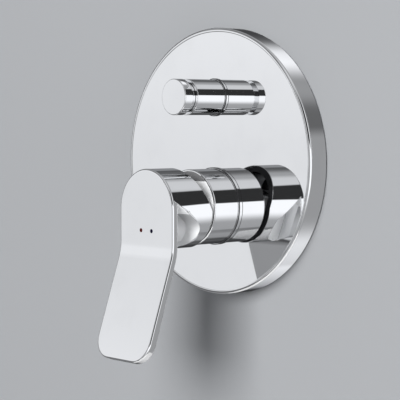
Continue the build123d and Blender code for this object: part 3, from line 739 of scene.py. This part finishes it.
@dataclass
class MixingValve:
    """The lower valve: cover sleeve, cartridge and its discs, and the lever handle."""

    sleeve: str = "body_sleeve"
    handle: str = "handle"
    hot_mark: str = "hot_mark"
    cold_mark: str = "cold_mark"
    brass: tuple[str, ...] = ("cartridge_nut", "cartridge_stem")
    plastic: tuple[str, ...] = (
        "cartridge_housing",
        "cartridge_base",
        "cartridge_rotor",
        "disc_carrier",
    )
    ceramic: tuple[str, ...] = ("fixed_disc", "moving_disc")
    rubber: tuple[str, ...] = ("base_seals", "sleeve_o_ring")
    steel: tuple[str, ...] = ("stem_pin", "handle_set_screw")
    pocket_tint: Colour = (0.40, 0.403, 0.41)
    # Painted light on the pocket's floor and front: paler copies of the pocket's satin.
    pocket_floor_painted_light_tint: Colour = (0.78, 0.785, 0.79)
    pocket_front_painted_light_tint: Colour = (0.95, 0.955, 0.96)
    dome_tint: Colour = (0.46, 0.465, 0.47)
    # Pale painted light on the lower part of the sleeve's dome.
    cheek_painted_light_tint: Colour = (0.92, 0.925, 0.93)
    # Near-black painted shade on the top of the sleeve's dome.
    crown_painted_shade_tint: Colour = (0.09, 0.09, 0.092)
    satin_metallic: float = 0.15
    satin_roughness: float = 0.35
    # Near-black: the raw casting's own grey, darkened further by painted shade.
    raw_casting_painted_shade_tint: Colour = (0.03, 0.03, 0.032)
    raw_metallic: float = 0.5
    raw_roughness: float = 0.45
    dome_depth: float = 0.004
    dome_edge: float = 0.0009
    dome_top: float = 0.0165
    cheek_top: float = 0.009
    cheek_fade: float = 0.006
    rear_reach: float = 0.014
    pocket_start: float = 0.0035
    pocket_middle: float = 0.018
    pocket_end: float = 0.0274
    pocket_edge: float = 0.0002
    pocket_top: float = 0.006
    pocket_floor_top: float = -0.004
    pocket_floor_fade: float = 0.012

    def axis_height(self) -> float:
        """Give the height of the valve's axis."""
        low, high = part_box(self.sleeve)
        return (low.z + high.z) / 2.0

    def sleeve_finish(self) -> PolishedChrome:
        """Make the sleeve's chrome: satin on the dome under the handle, with painted shade darker
        towards its top and painted light paler towards its bottom.

        Returns:
            The finish.
        """
        low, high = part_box(self.sleeve)
        # The crown paints shade over the dome's top.
        crown = SatinPaintedLightZone(
            axis_height=self.axis_height(),
            radius=(high.x - low.x) / 2.0 - self.dome_edge,
            depths=(-low.y - self.dome_depth, -low.y + self.dome_edge),
            top=high.z,
            tint=self.crown_painted_shade_tint,
            metallic=self.satin_metallic,
            roughness=self.satin_roughness,
        )
        dome = replace(crown, top=self.axis_height() + self.dome_top, tint=self.dome_tint)
        # The cheek paints light over the dome's lower part, fading in towards the bottom.
        cheek = replace(
            dome,
            top=self.axis_height() + self.cheek_top,
            tint=self.cheek_painted_light_tint,
            fade=self.cheek_fade,
        )
        return replace(CHROME, name="sleeve_chrome", zones=(crown, dome, cheek))

    def handle_finish(self) -> PolishedChrome:
        """Make the handle's chrome: raw casting darkened by painted shade at its rear, satin on the
        walls of its pockets with painted light on their floor and front.

        Returns:
            The finish.
        """
        low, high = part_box(self.handle)
        radius = (high.x - low.x) / 2.0 - self.pocket_edge
        # The rear zone is raw casting whose tint is darkened by painted shade.
        rear = SatinPaintedLightZone(
            axis_height=self.axis_height(),
            radius=radius,
            depths=(-high.y - self.pocket_edge, -high.y + self.rear_reach),
            top=high.z,
            tint=self.raw_casting_painted_shade_tint,
            metallic=self.raw_metallic,
            roughness=self.raw_roughness,
        )
        pocket = SatinPaintedLightZone(
            axis_height=self.axis_height(),
            radius=radius,
            depths=(-high.y + self.pocket_start, -high.y + self.pocket_end),
            top=self.axis_height() + self.pocket_top,
            tint=self.pocket_tint,
            metallic=self.satin_metallic,
            roughness=self.satin_roughness,
        )
        # The pocket's floor takes a paler tint: painted light.
        pocket_floor = replace(
            pocket,
            top=self.axis_height() + self.pocket_floor_top,
            tint=self.pocket_floor_painted_light_tint,
            fade=self.pocket_floor_fade,
        )
        # The pocket's front takes a paler tint still: painted light.
        pocket_front = replace(
            pocket,
            depths=(-high.y + self.pocket_middle, -high.y + self.pocket_end),
            tint=self.pocket_front_painted_light_tint,
        )
        return replace(
            CHROME, name="handle_chrome", zones=(rear, pocket, pocket_floor, pocket_front)
        )

    def dress(self) -> None:
        """Give each piece its finish."""
        dress(self.sleeve_finish(), self.sleeve)
        dress(self.handle_finish(), self.handle)
        dress(TURNED, *self.brass)
        dress(PLASTIC, *self.plastic)
        dress(CERAMIC, *self.ceramic)
        dress(RUBBER, *self.rubber)
        dress(STEEL, *self.steel)
        dress(HOT_ENAMEL, self.hot_mark)
        dress(COLD_ENAMEL, self.cold_mark)


@dataclass
class Diverter:
    """The upper valve: sleeve, pull knob, stem, washer and seat."""

    chrome: tuple[str, ...] = ("diverter_sleeve", "diverter_knob")
    brass: tuple[str, ...] = ("diverter_bonnet", "diverter_stem", "diverter_seat", "washer_nut")
    rubber: tuple[str, ...] = ("stem_o_ring", "diverter_washer")

    def dress(self) -> None:
        """Give each piece its finish."""
        dress(CHROME, *self.chrome)
        dress(TURNED, *self.brass)
        dress(RUBBER, *self.rubber)


@dataclass
class PipeUnion:
    """A hexagon union with a half-inch pipe thread in its mouth, in place of the CAD one.

    Lengths are in metres. A depth here is a distance from the union's mouth.
    """

    node: str
    side: Side
    hex_length: float = 0.017
    spigot_length: float = 0.004
    spigot_radius: float = 0.0096
    passage_radius: float = 0.0065
    thread_radius: float = 0.00932
    thread_length: float = 0.015
    thread_pitch: float = 0.001814
    groove_depth: float = 0.00116
    lead_in: float = 0.0007
    face_radius: float = 0.0134
    chamfer_angle: float = 30.0
    chamfer_rows: int = 9
    turns: int = 120
    rows_per_pitch: int = 12

    def hexagon(self, corner: float, turn: np.ndarray) -> np.ndarray:
        """Give the hexagon's radius: its flat over the cosine from the flat's middle."""
        sixth = math.pi / 3.0
        return corner * math.cos(sixth / 2.0) / np.cos(np.mod(turn, sixth) - sixth / 2.0)

    def thread(self, turn: np.ndarray) -> tuple[np.ndarray, np.ndarray]:
        """Give depth and radius over the thread.

        The radius rises and falls by a cosine of depth over pitch plus the turn, which makes a
        right-hand helix. It fades over the last pitch, and a cone at the mouth leads in.

        Args:
            turn: The angles round the axis.

        Returns:
            The depths and the radii, as rows by turns.
        """
        rows = int(self.thread_length / self.thread_pitch * self.rows_per_pitch)
        depth = np.linspace(self.thread_length, 0.0, rows)[:, None] + 0.0 * turn
        phase = 2.0 * math.pi * depth / self.thread_pitch + turn
        fade = np.clip((self.thread_length - depth) / self.thread_pitch, 0.0, 1.0)
        groove = self.groove_depth * fade * (0.5 - 0.5 * np.cos(phase))
        cone = self.thread_radius + self.groove_depth + self.lead_in - depth
        return depth, np.maximum(self.thread_radius + groove, cone)

    def shell(self, corner: float, turn: np.ndarray) -> tuple[np.ndarray, np.ndarray]:
        """Give depth and radius over the outside, from the mouth's face to the spigot's end.

        The hexagon is cut by a cone at the mouth: the smaller of the two radii counts.

        Args:
            corner: The hexagon's radius at its corners.
            turn: The angles round the axis.

        Returns:
            The depths and the radii, as rows by turns.
        """
        slope = 1.0 / math.tan(math.radians(self.chamfer_angle))
        cut = np.linspace(0.0, (corner - self.face_radius) / slope, self.chamfer_rows)[:, None]
        chamfer = np.minimum(self.hexagon(corner, turn), self.face_radius + cut * slope)
        end = self.hex_length + self.spigot_length
        flat = 0.0 * turn
        depths = [cut + flat, self.hex_length + flat, self.hex_length + flat, end + flat]
        radii = [
            chamfer,
            self.hexagon(corner, turn),
            self.spigot_radius + flat,
            self.spigot_radius + flat,
        ]
        return np.concatenate(depths), np.concatenate(radii)

    def points(self) -> np.ndarray:
        """Turn the passage, the thread and the outside about the axis that the CAD union gives.

        Returns:
            The union's points, as rows by turns by 3.
        """
        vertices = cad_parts[self.node].data.vertices
        places = np.empty(len(vertices) * 3)
        vertices.foreach_get("co", places)
        places = places.reshape(-1, 3)
        axis = np.array(self.side.value)
        centre = (places.min(axis=0) + places.max(axis=0)) / 2.0
        arms = places - centre
        mouth = centre + axis * (arms @ axis).max()
        arms = arms - (arms @ axis)[:, None] * axis
        reach = np.linalg.norm(arms, axis=1)
        corner = float(reach.max())
        first = arms[reach.argmax()] / corner
        second = np.cross(axis, first)
        turn = full_turn(self.turns)
        inner_depth, inner_radius = self.thread(turn)
        outer_depth, outer_radius = self.shell(corner, turn)
        ends = np.array([[self.hex_length + self.spigot_length], [self.thread_length]])
        passage = ends + 0.0 * turn
        depth = np.concatenate([passage, inner_depth, outer_depth])[..., None]
        radius = np.concatenate([0.0 * passage + self.passage_radius, inner_radius, outer_radius])
        ring = np.cos(turn)[..., None] * first + np.sin(turn)[..., None] * second
        return mouth - depth * axis + radius[..., None] * ring

    def build(self) -> None:
        """Build the union on the valve, in place of the CAD one."""
        piece = grid_mesh(f"threaded_{self.node}", self.points(), Wrap.TORUS)
        upright = self.side in (Side.UP, Side.DOWN)
        add_piece(piece, TURNED_UPRIGHT if upright else TURNED_ACROSS, "valve")
        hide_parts(self.node)


@dataclass
class InWallBody:
    """The brass body in the wall with its unions and its bracket."""

    casting: str = "valve_body"
    bracket: str = "fixing_bracket"
    unions: tuple[PipeUnion, ...] = (
        PipeUnion("hot_union", Side.LEFT),
        PipeUnion("cold_union", Side.RIGHT),
        PipeUnion("shower_union", Side.UP),
        PipeUnion("bath_union", Side.DOWN),
    )

    def dress(self) -> None:
        """Give each piece its finish and build the unions."""
        dress(CASTING, self.casting)
        dress(STEEL, self.bracket)
        for union in self.unions:
            union.build()


class Outlook(Enum):
    """Half of the surroundings that a panel's bearing is counted in."""

    ROOM = "out from the wall"
    WALL = "into the wall"


@dataclass(frozen=True)
class Panel:
    """A soft panel of the studio, seen from the mixer: its bearings, edges and brightness.

    Bearings are in degrees: 0 is straight out from the wall, or straight into it, and positive
    is to the right in both.
    """

    name: str
    outlook: Outlook
    bearing: tuple[float, float]
    height: tuple[float, float]
    side_blur: float
    edge_blur: tuple[float, float]
    level: float


@dataclass
class SoftLight:
    """A square area light that points at the mixer."""

    name: str
    place: Triple
    aim: Triple
    side: float
    watts: float

    def build(self) -> None:
        """Add the light, unseen in reflections."""
        lamp = bpy.data.lights.new(self.name, "AREA")
        lamp.size = self.side
        lamp.energy = self.watts
        made = bpy.data.objects.new(self.name, lamp)
        made.location = self.place
        made.rotation_mode = "QUATERNION"
        made.rotation_quaternion = (Vector(self.aim) - Vector(self.place)).to_track_quat("-Z", "Y")
        made.visible_glossy = False
        bpy.context.scene.collection.objects.link(made)


@dataclass
class Studio:
    """Wall, floor, backdrop, lamps and surroundings.

    Lengths are in metres, and angles in degrees.
    """

    recess_radius: float = 0.072
    wall_setback: float = 0.0003
    wall_reach: float = 4.0
    wall_rings: int = 24
    wall_turns: int = 128
    floor_level: float = -1.2
    floor_reach: float = 0.9
    floor_steps: int = 9
    backdrop_reach: float = 9.0
    backdrop_tilt: float = 89.91
    backdrop_rings: int = 48
    backdrop_turns: int = 96
    paint_roughness: float = 0.9
    paint_cloud_scale: float = 3.0
    paint_cloud_shade: float = 0.97
    wall_colour: Colour = (0.166, 0.1705, 0.1765)
    floor_colour: Colour = (0.62, 0.62, 0.62)
    backdrop_colour: Colour = (0.72, 0.72, 0.73)
    light_colour: Colour = (0.985, 1.0, 1.03)
    ground_level: float = 0.42
    middle_level: float = 0.5
    top_level: float = 0.45
    lower_band: tuple[float, float] = (-45.0, 0.0)
    upper_band: tuple[float, float] = (20.0, 60.0)
    lamps: tuple[SoftLight, ...] = (
        SoftLight("key_light", (1.04, -3.66, 1.24), (0.0, 0.0, 0.0), 2.45, 425.0),
        SoftLight("side_light", (1.2, -0.45, -0.35), (0.02, -0.05, -0.03), 0.5, 2.5),
    )
    panels: tuple[Panel, ...] = (
        Panel("front_gap", Outlook.ROOM, (-30.0, 16.0), (-45.0, 36.0), 3.0, (8.0, 6.0), 0.05),
        Panel("front_glow", Outlook.ROOM, (-19.0, 3.0), (-46.0, 34.0), 5.0, (8.0, 6.0), 0.55),
        Panel("left_wall", Outlook.ROOM, (-78.0, -32.0), (-12.0, 26.0), 4.0, (3.0, 3.0), 0.81),
        Panel("left_glow", Outlook.ROOM, (-78.0, -32.0), (0.5, 15.0), 4.0, (3.5, 3.0), 0.9),
        Panel("upper_left_shade", Outlook.ROOM, (-75.0, -22.0), (28.0, 65.0), 12.0, (3.0, 10.0), 0.2),
        Panel("lower_left_shade", Outlook.ROOM, (-80.0, -25.0), (-42.0, -14.0), 12.0, (8.0, 3.0), 0.15),
        Panel("dark_side", Outlook.ROOM, (14.0, 57.0), (7.0, 36.0), 4.0, (1.5, 1.5), 0.035),
        Panel("side_card", Outlook.ROOM, (61.0, 88.0), (-20.0, 40.0), 3.0, (4.0, 6.0), 1.1),
        Panel("overhead", Outlook.ROOM, (2.0, 36.0), (36.0, 66.0), 8.0, (1.5, 8.0), 0.75),
        Panel("white_card", Outlook.ROOM, (14.0, 75.0), (-24.0, 8.5), 5.0, (10.0, 1.2), 1.2),
        Panel("far_wall", Outlook.WALL, (-90.0, 90.0), (-85.0, 85.0), 4.0, (5.0, 5.0), 0.34),
        Panel("high_strip", Outlook.WALL, (-30.0, 4.0), (37.0, 62.0), 12.0, (6.0, 6.0), 1.2),
        Panel("low_strip", Outlook.WALL, (-26.0, 24.0), (-62.0, -36.0), 12.0, (8.0, 8.0), 0.9),
        Panel("low_glow", Outlook.WALL, (-43.5, -14.0), (-50.0, -23.5), 3.5, (8.0, 5.0), 1.2),
        Panel("right_shade", Outlook.WALL, (28.0, 70.0), (17.0, 36.0), 8.0, (4.0, 6.0), 0.14),
        Panel("left_shade", Outlook.WALL, (-100.0, -33.0), (8.0, 36.0), 8.0, (3.0, 5.0), 0.18),
        Panel("left_low_shade", Outlook.WALL, (-100.0, -36.0), (-20.0, -5.0), 8.0, (4.0, 3.0), 0.09),
        Panel("left_gap", Outlook.WALL, (-97.0, -55.0), (-18.0, 32.0), 3.0, (4.0, 4.0), 0.05),
    )

    def surface_of(self, name: str, colour: Colour) -> bpy.types.Material:
        """Make a matt paint that is only there on its front, so that it hides nothing from behind.

        Args:
            name: The material's name.
            colour: The paint's colour.

        Returns:
            The material.
        """
        made = bpy.data.materials.new(name)
        made.use_nodes = True
        bench = NodeBench(made.node_tree)
        cloud = bench.noise(bench.place(), self.paint_cloud_scale)
        clouded = shade(colour, self.paint_cloud_shade)
        paint = bench.principled(
            {
                "Base Color": bench.blend(rgba(colour), rgba(clouded), cloud),
                "Roughness": self.paint_roughness,
            }
        )
        clear = bench.make("ShaderNodeBsdfTransparent", {}, {})
        behind = bench.make("ShaderNodeNewGeometry", {}, {}, "Backfacing")
        both = bench.make("ShaderNodeMixShader", {}, {0: behind, 1: paint, 2: clear})
        bench.make("ShaderNodeOutputMaterial", {}, {"Surface": both})
        return made

    def build_wall(self) -> None:
        """Build the wall as a flat ring round the recess: a level section turned about an axis."""
        radii = np.geomspace(self.recess_radius, self.wall_reach, self.wall_rings)
        depth = np.full(self.wall_rings, -self.wall_setback)
        points = turn_section(radii, depth, 0.0, self.wall_turns)
        wall = grid_mesh("wall", points, Wrap.TUBE)
        wall.data.materials.append(self.surface_of("wall_paint", self.wall_colour))
        wall.visible_glossy = False

    def build_floor(self) -> None:
        """Build the floor as a square grid."""
        steps = np.linspace(-self.floor_reach, self.floor_reach, self.floor_steps)
        x, y = np.meshgrid(steps, steps)
        points = np.stack([x, y, np.full_like(x, self.floor_level)], axis=-1)
        floor = grid_mesh("floor", points, Wrap.OPEN)
        floor.data.materials.append(self.surface_of("floor_paint", self.floor_colour))

    def build_backdrop(self) -> None:
        """Build the pale backdrop as a ball round the studio: a turn by a tilt on a grid.

        It stands only behind the picture: lamps and surroundings shine through it.
        """
        end = math.radians(self.backdrop_tilt)
        tilt = np.linspace(-end, end, self.backdrop_rings)[:, None]
        turn = full_turn(self.backdrop_turns)
        ball = np.stack(
            [np.cos(tilt) * np.cos(turn), np.cos(tilt) * np.sin(turn), np.sin(tilt) + 0.0 * turn],
            axis=-1,
        )
        backdrop = grid_mesh("backdrop", self.backdrop_reach * ball, Wrap.TUBE)
        paint = bpy.data.materials.new("backdrop_paint")
        paint.use_nodes = True
        bench = NodeBench(paint.node_tree)
        pale = bench.make("ShaderNodeEmission", {}, {"Color": rgba(self.backdrop_colour)})
        bench.make("ShaderNodeOutputMaterial", {}, {"Surface": pale})
        backdrop.data.materials.append(paint)
        backdrop.visible_diffuse = False
        backdrop.visible_glossy = False
        backdrop.visible_shadow = False

    def panel_mask(self, panel: Panel, bearing: Signal, height: Signal) -> Signal:
        """Give 1 inside a panel and 0 outside, with blurred edges.

        Args:
            panel: The panel.
            bearing: The bearing in the panel's outlook, in degrees.
            height: The angle above the horizon, in degrees.

        Returns:
            The mask.
        """
        side = panel.side_blur
        low, high = panel.edge_blur
        return (
            bearing.ramp(panel.bearing[0] - side, panel.bearing[0] + side)
            * (1.0 - bearing.ramp(panel.bearing[1] - side, panel.bearing[1] + side))
            * height.ramp(panel.height[0] - low, panel.height[0] + low)
            * (1.0 - height.ramp(panel.height[1] - high, panel.height[1] + high))
        )

    def light_surroundings(self) -> None:
        """Make the world: levels by height, with each panel laid over them by its bearing."""
        world = bpy.data.worlds.new("studio")
        world.use_nodes = True
        bpy.context.scene.world = world
        bench = NodeBench(world.node_tree)
        across = bench.make(
            "ShaderNodeSeparateXYZ",
            {},
            {0: bench.make("ShaderNodeTexCoord", {}, {}, "Generated")},
            "X",
        )
        depth, up = across.other("Y"), across.other("Z")
        degrees = math.degrees(1.0)
        bearings = {
            Outlook.ROOM: across.maths("ARCTAN2", across, -depth) * degrees,
            Outlook.WALL: across.maths("ARCTAN2", across, depth) * degrees,
        }
        height = up.maths("ARCSINE", up, 0.0) * degrees
        level = (
            self.ground_level
            + (self.middle_level - self.ground_level) * height.ramp(*self.lower_band)
            + (self.top_level - self.middle_level) * height.ramp(*self.upper_band)
        )
        for panel in self.panels:
            mask = self.panel_mask(panel, bearings[panel.outlook], height)
            level = level + (panel.level - level) * mask
        studio = bench.make(
            "ShaderNodeBackground", {}, {"Color": rgba(self.light_colour), "Strength": level}
        )
        bench.make("ShaderNodeOutputWorld", {}, {"Surface": studio})

    def build(self) -> None:
        """Build the stage, its surroundings and its lamps."""
        self.build_wall()
        self.build_floor()
        self.build_backdrop()
        self.light_surroundings()
        for lamp in self.lamps:
            lamp.build()


@dataclass
class PhotoCamera:
    """The camera at the photograph's viewing angle."""

    place: Triple = (0.68238, -0.64312, 0.02933)
    azimuth: float = 47.872
    elevation: float = 3.287
    lens: float = 134.56
    sensor: float = 36.0
    clip_start: float = 0.01

    def build(self) -> None:
        """Add the camera and make it the scene's."""
        lens = bpy.data.cameras.new("photo_camera")
        lens.lens = self.lens
        lens.sensor_width = self.sensor
        lens.clip_start = self.clip_start
        made = bpy.data.objects.new("photo_camera", lens)
        azimuth, elevation = math.radians(self.azimuth), math.radians(self.elevation)
        back = Vector(
            (
                math.sin(azimuth) * math.cos(elevation),
                -math.cos(azimuth) * math.cos(elevation),
                math.sin(elevation),
            )
        )
        made.location = self.place
        made.rotation_mode = "QUATERNION"
        made.rotation_quaternion = (-back).to_track_quat("-Z", "Y")
        bpy.context.scene.collection.objects.link(made)
        bpy.context.scene.camera = made


def main() -> None:
    """Dress the mixer, build the studio and place the camera."""
    logging.basicConfig(level=logging.INFO, format="%(message)s")
    PhotoCamera().build()
    for assembly in (WallPlate(), MixingValve(), Diverter(), InWallBody()):
        assembly.dress()
    Studio().build()
    bpy.context.scene.view_settings.view_transform = "Standard"


if __name__ == "__main__":
    main()
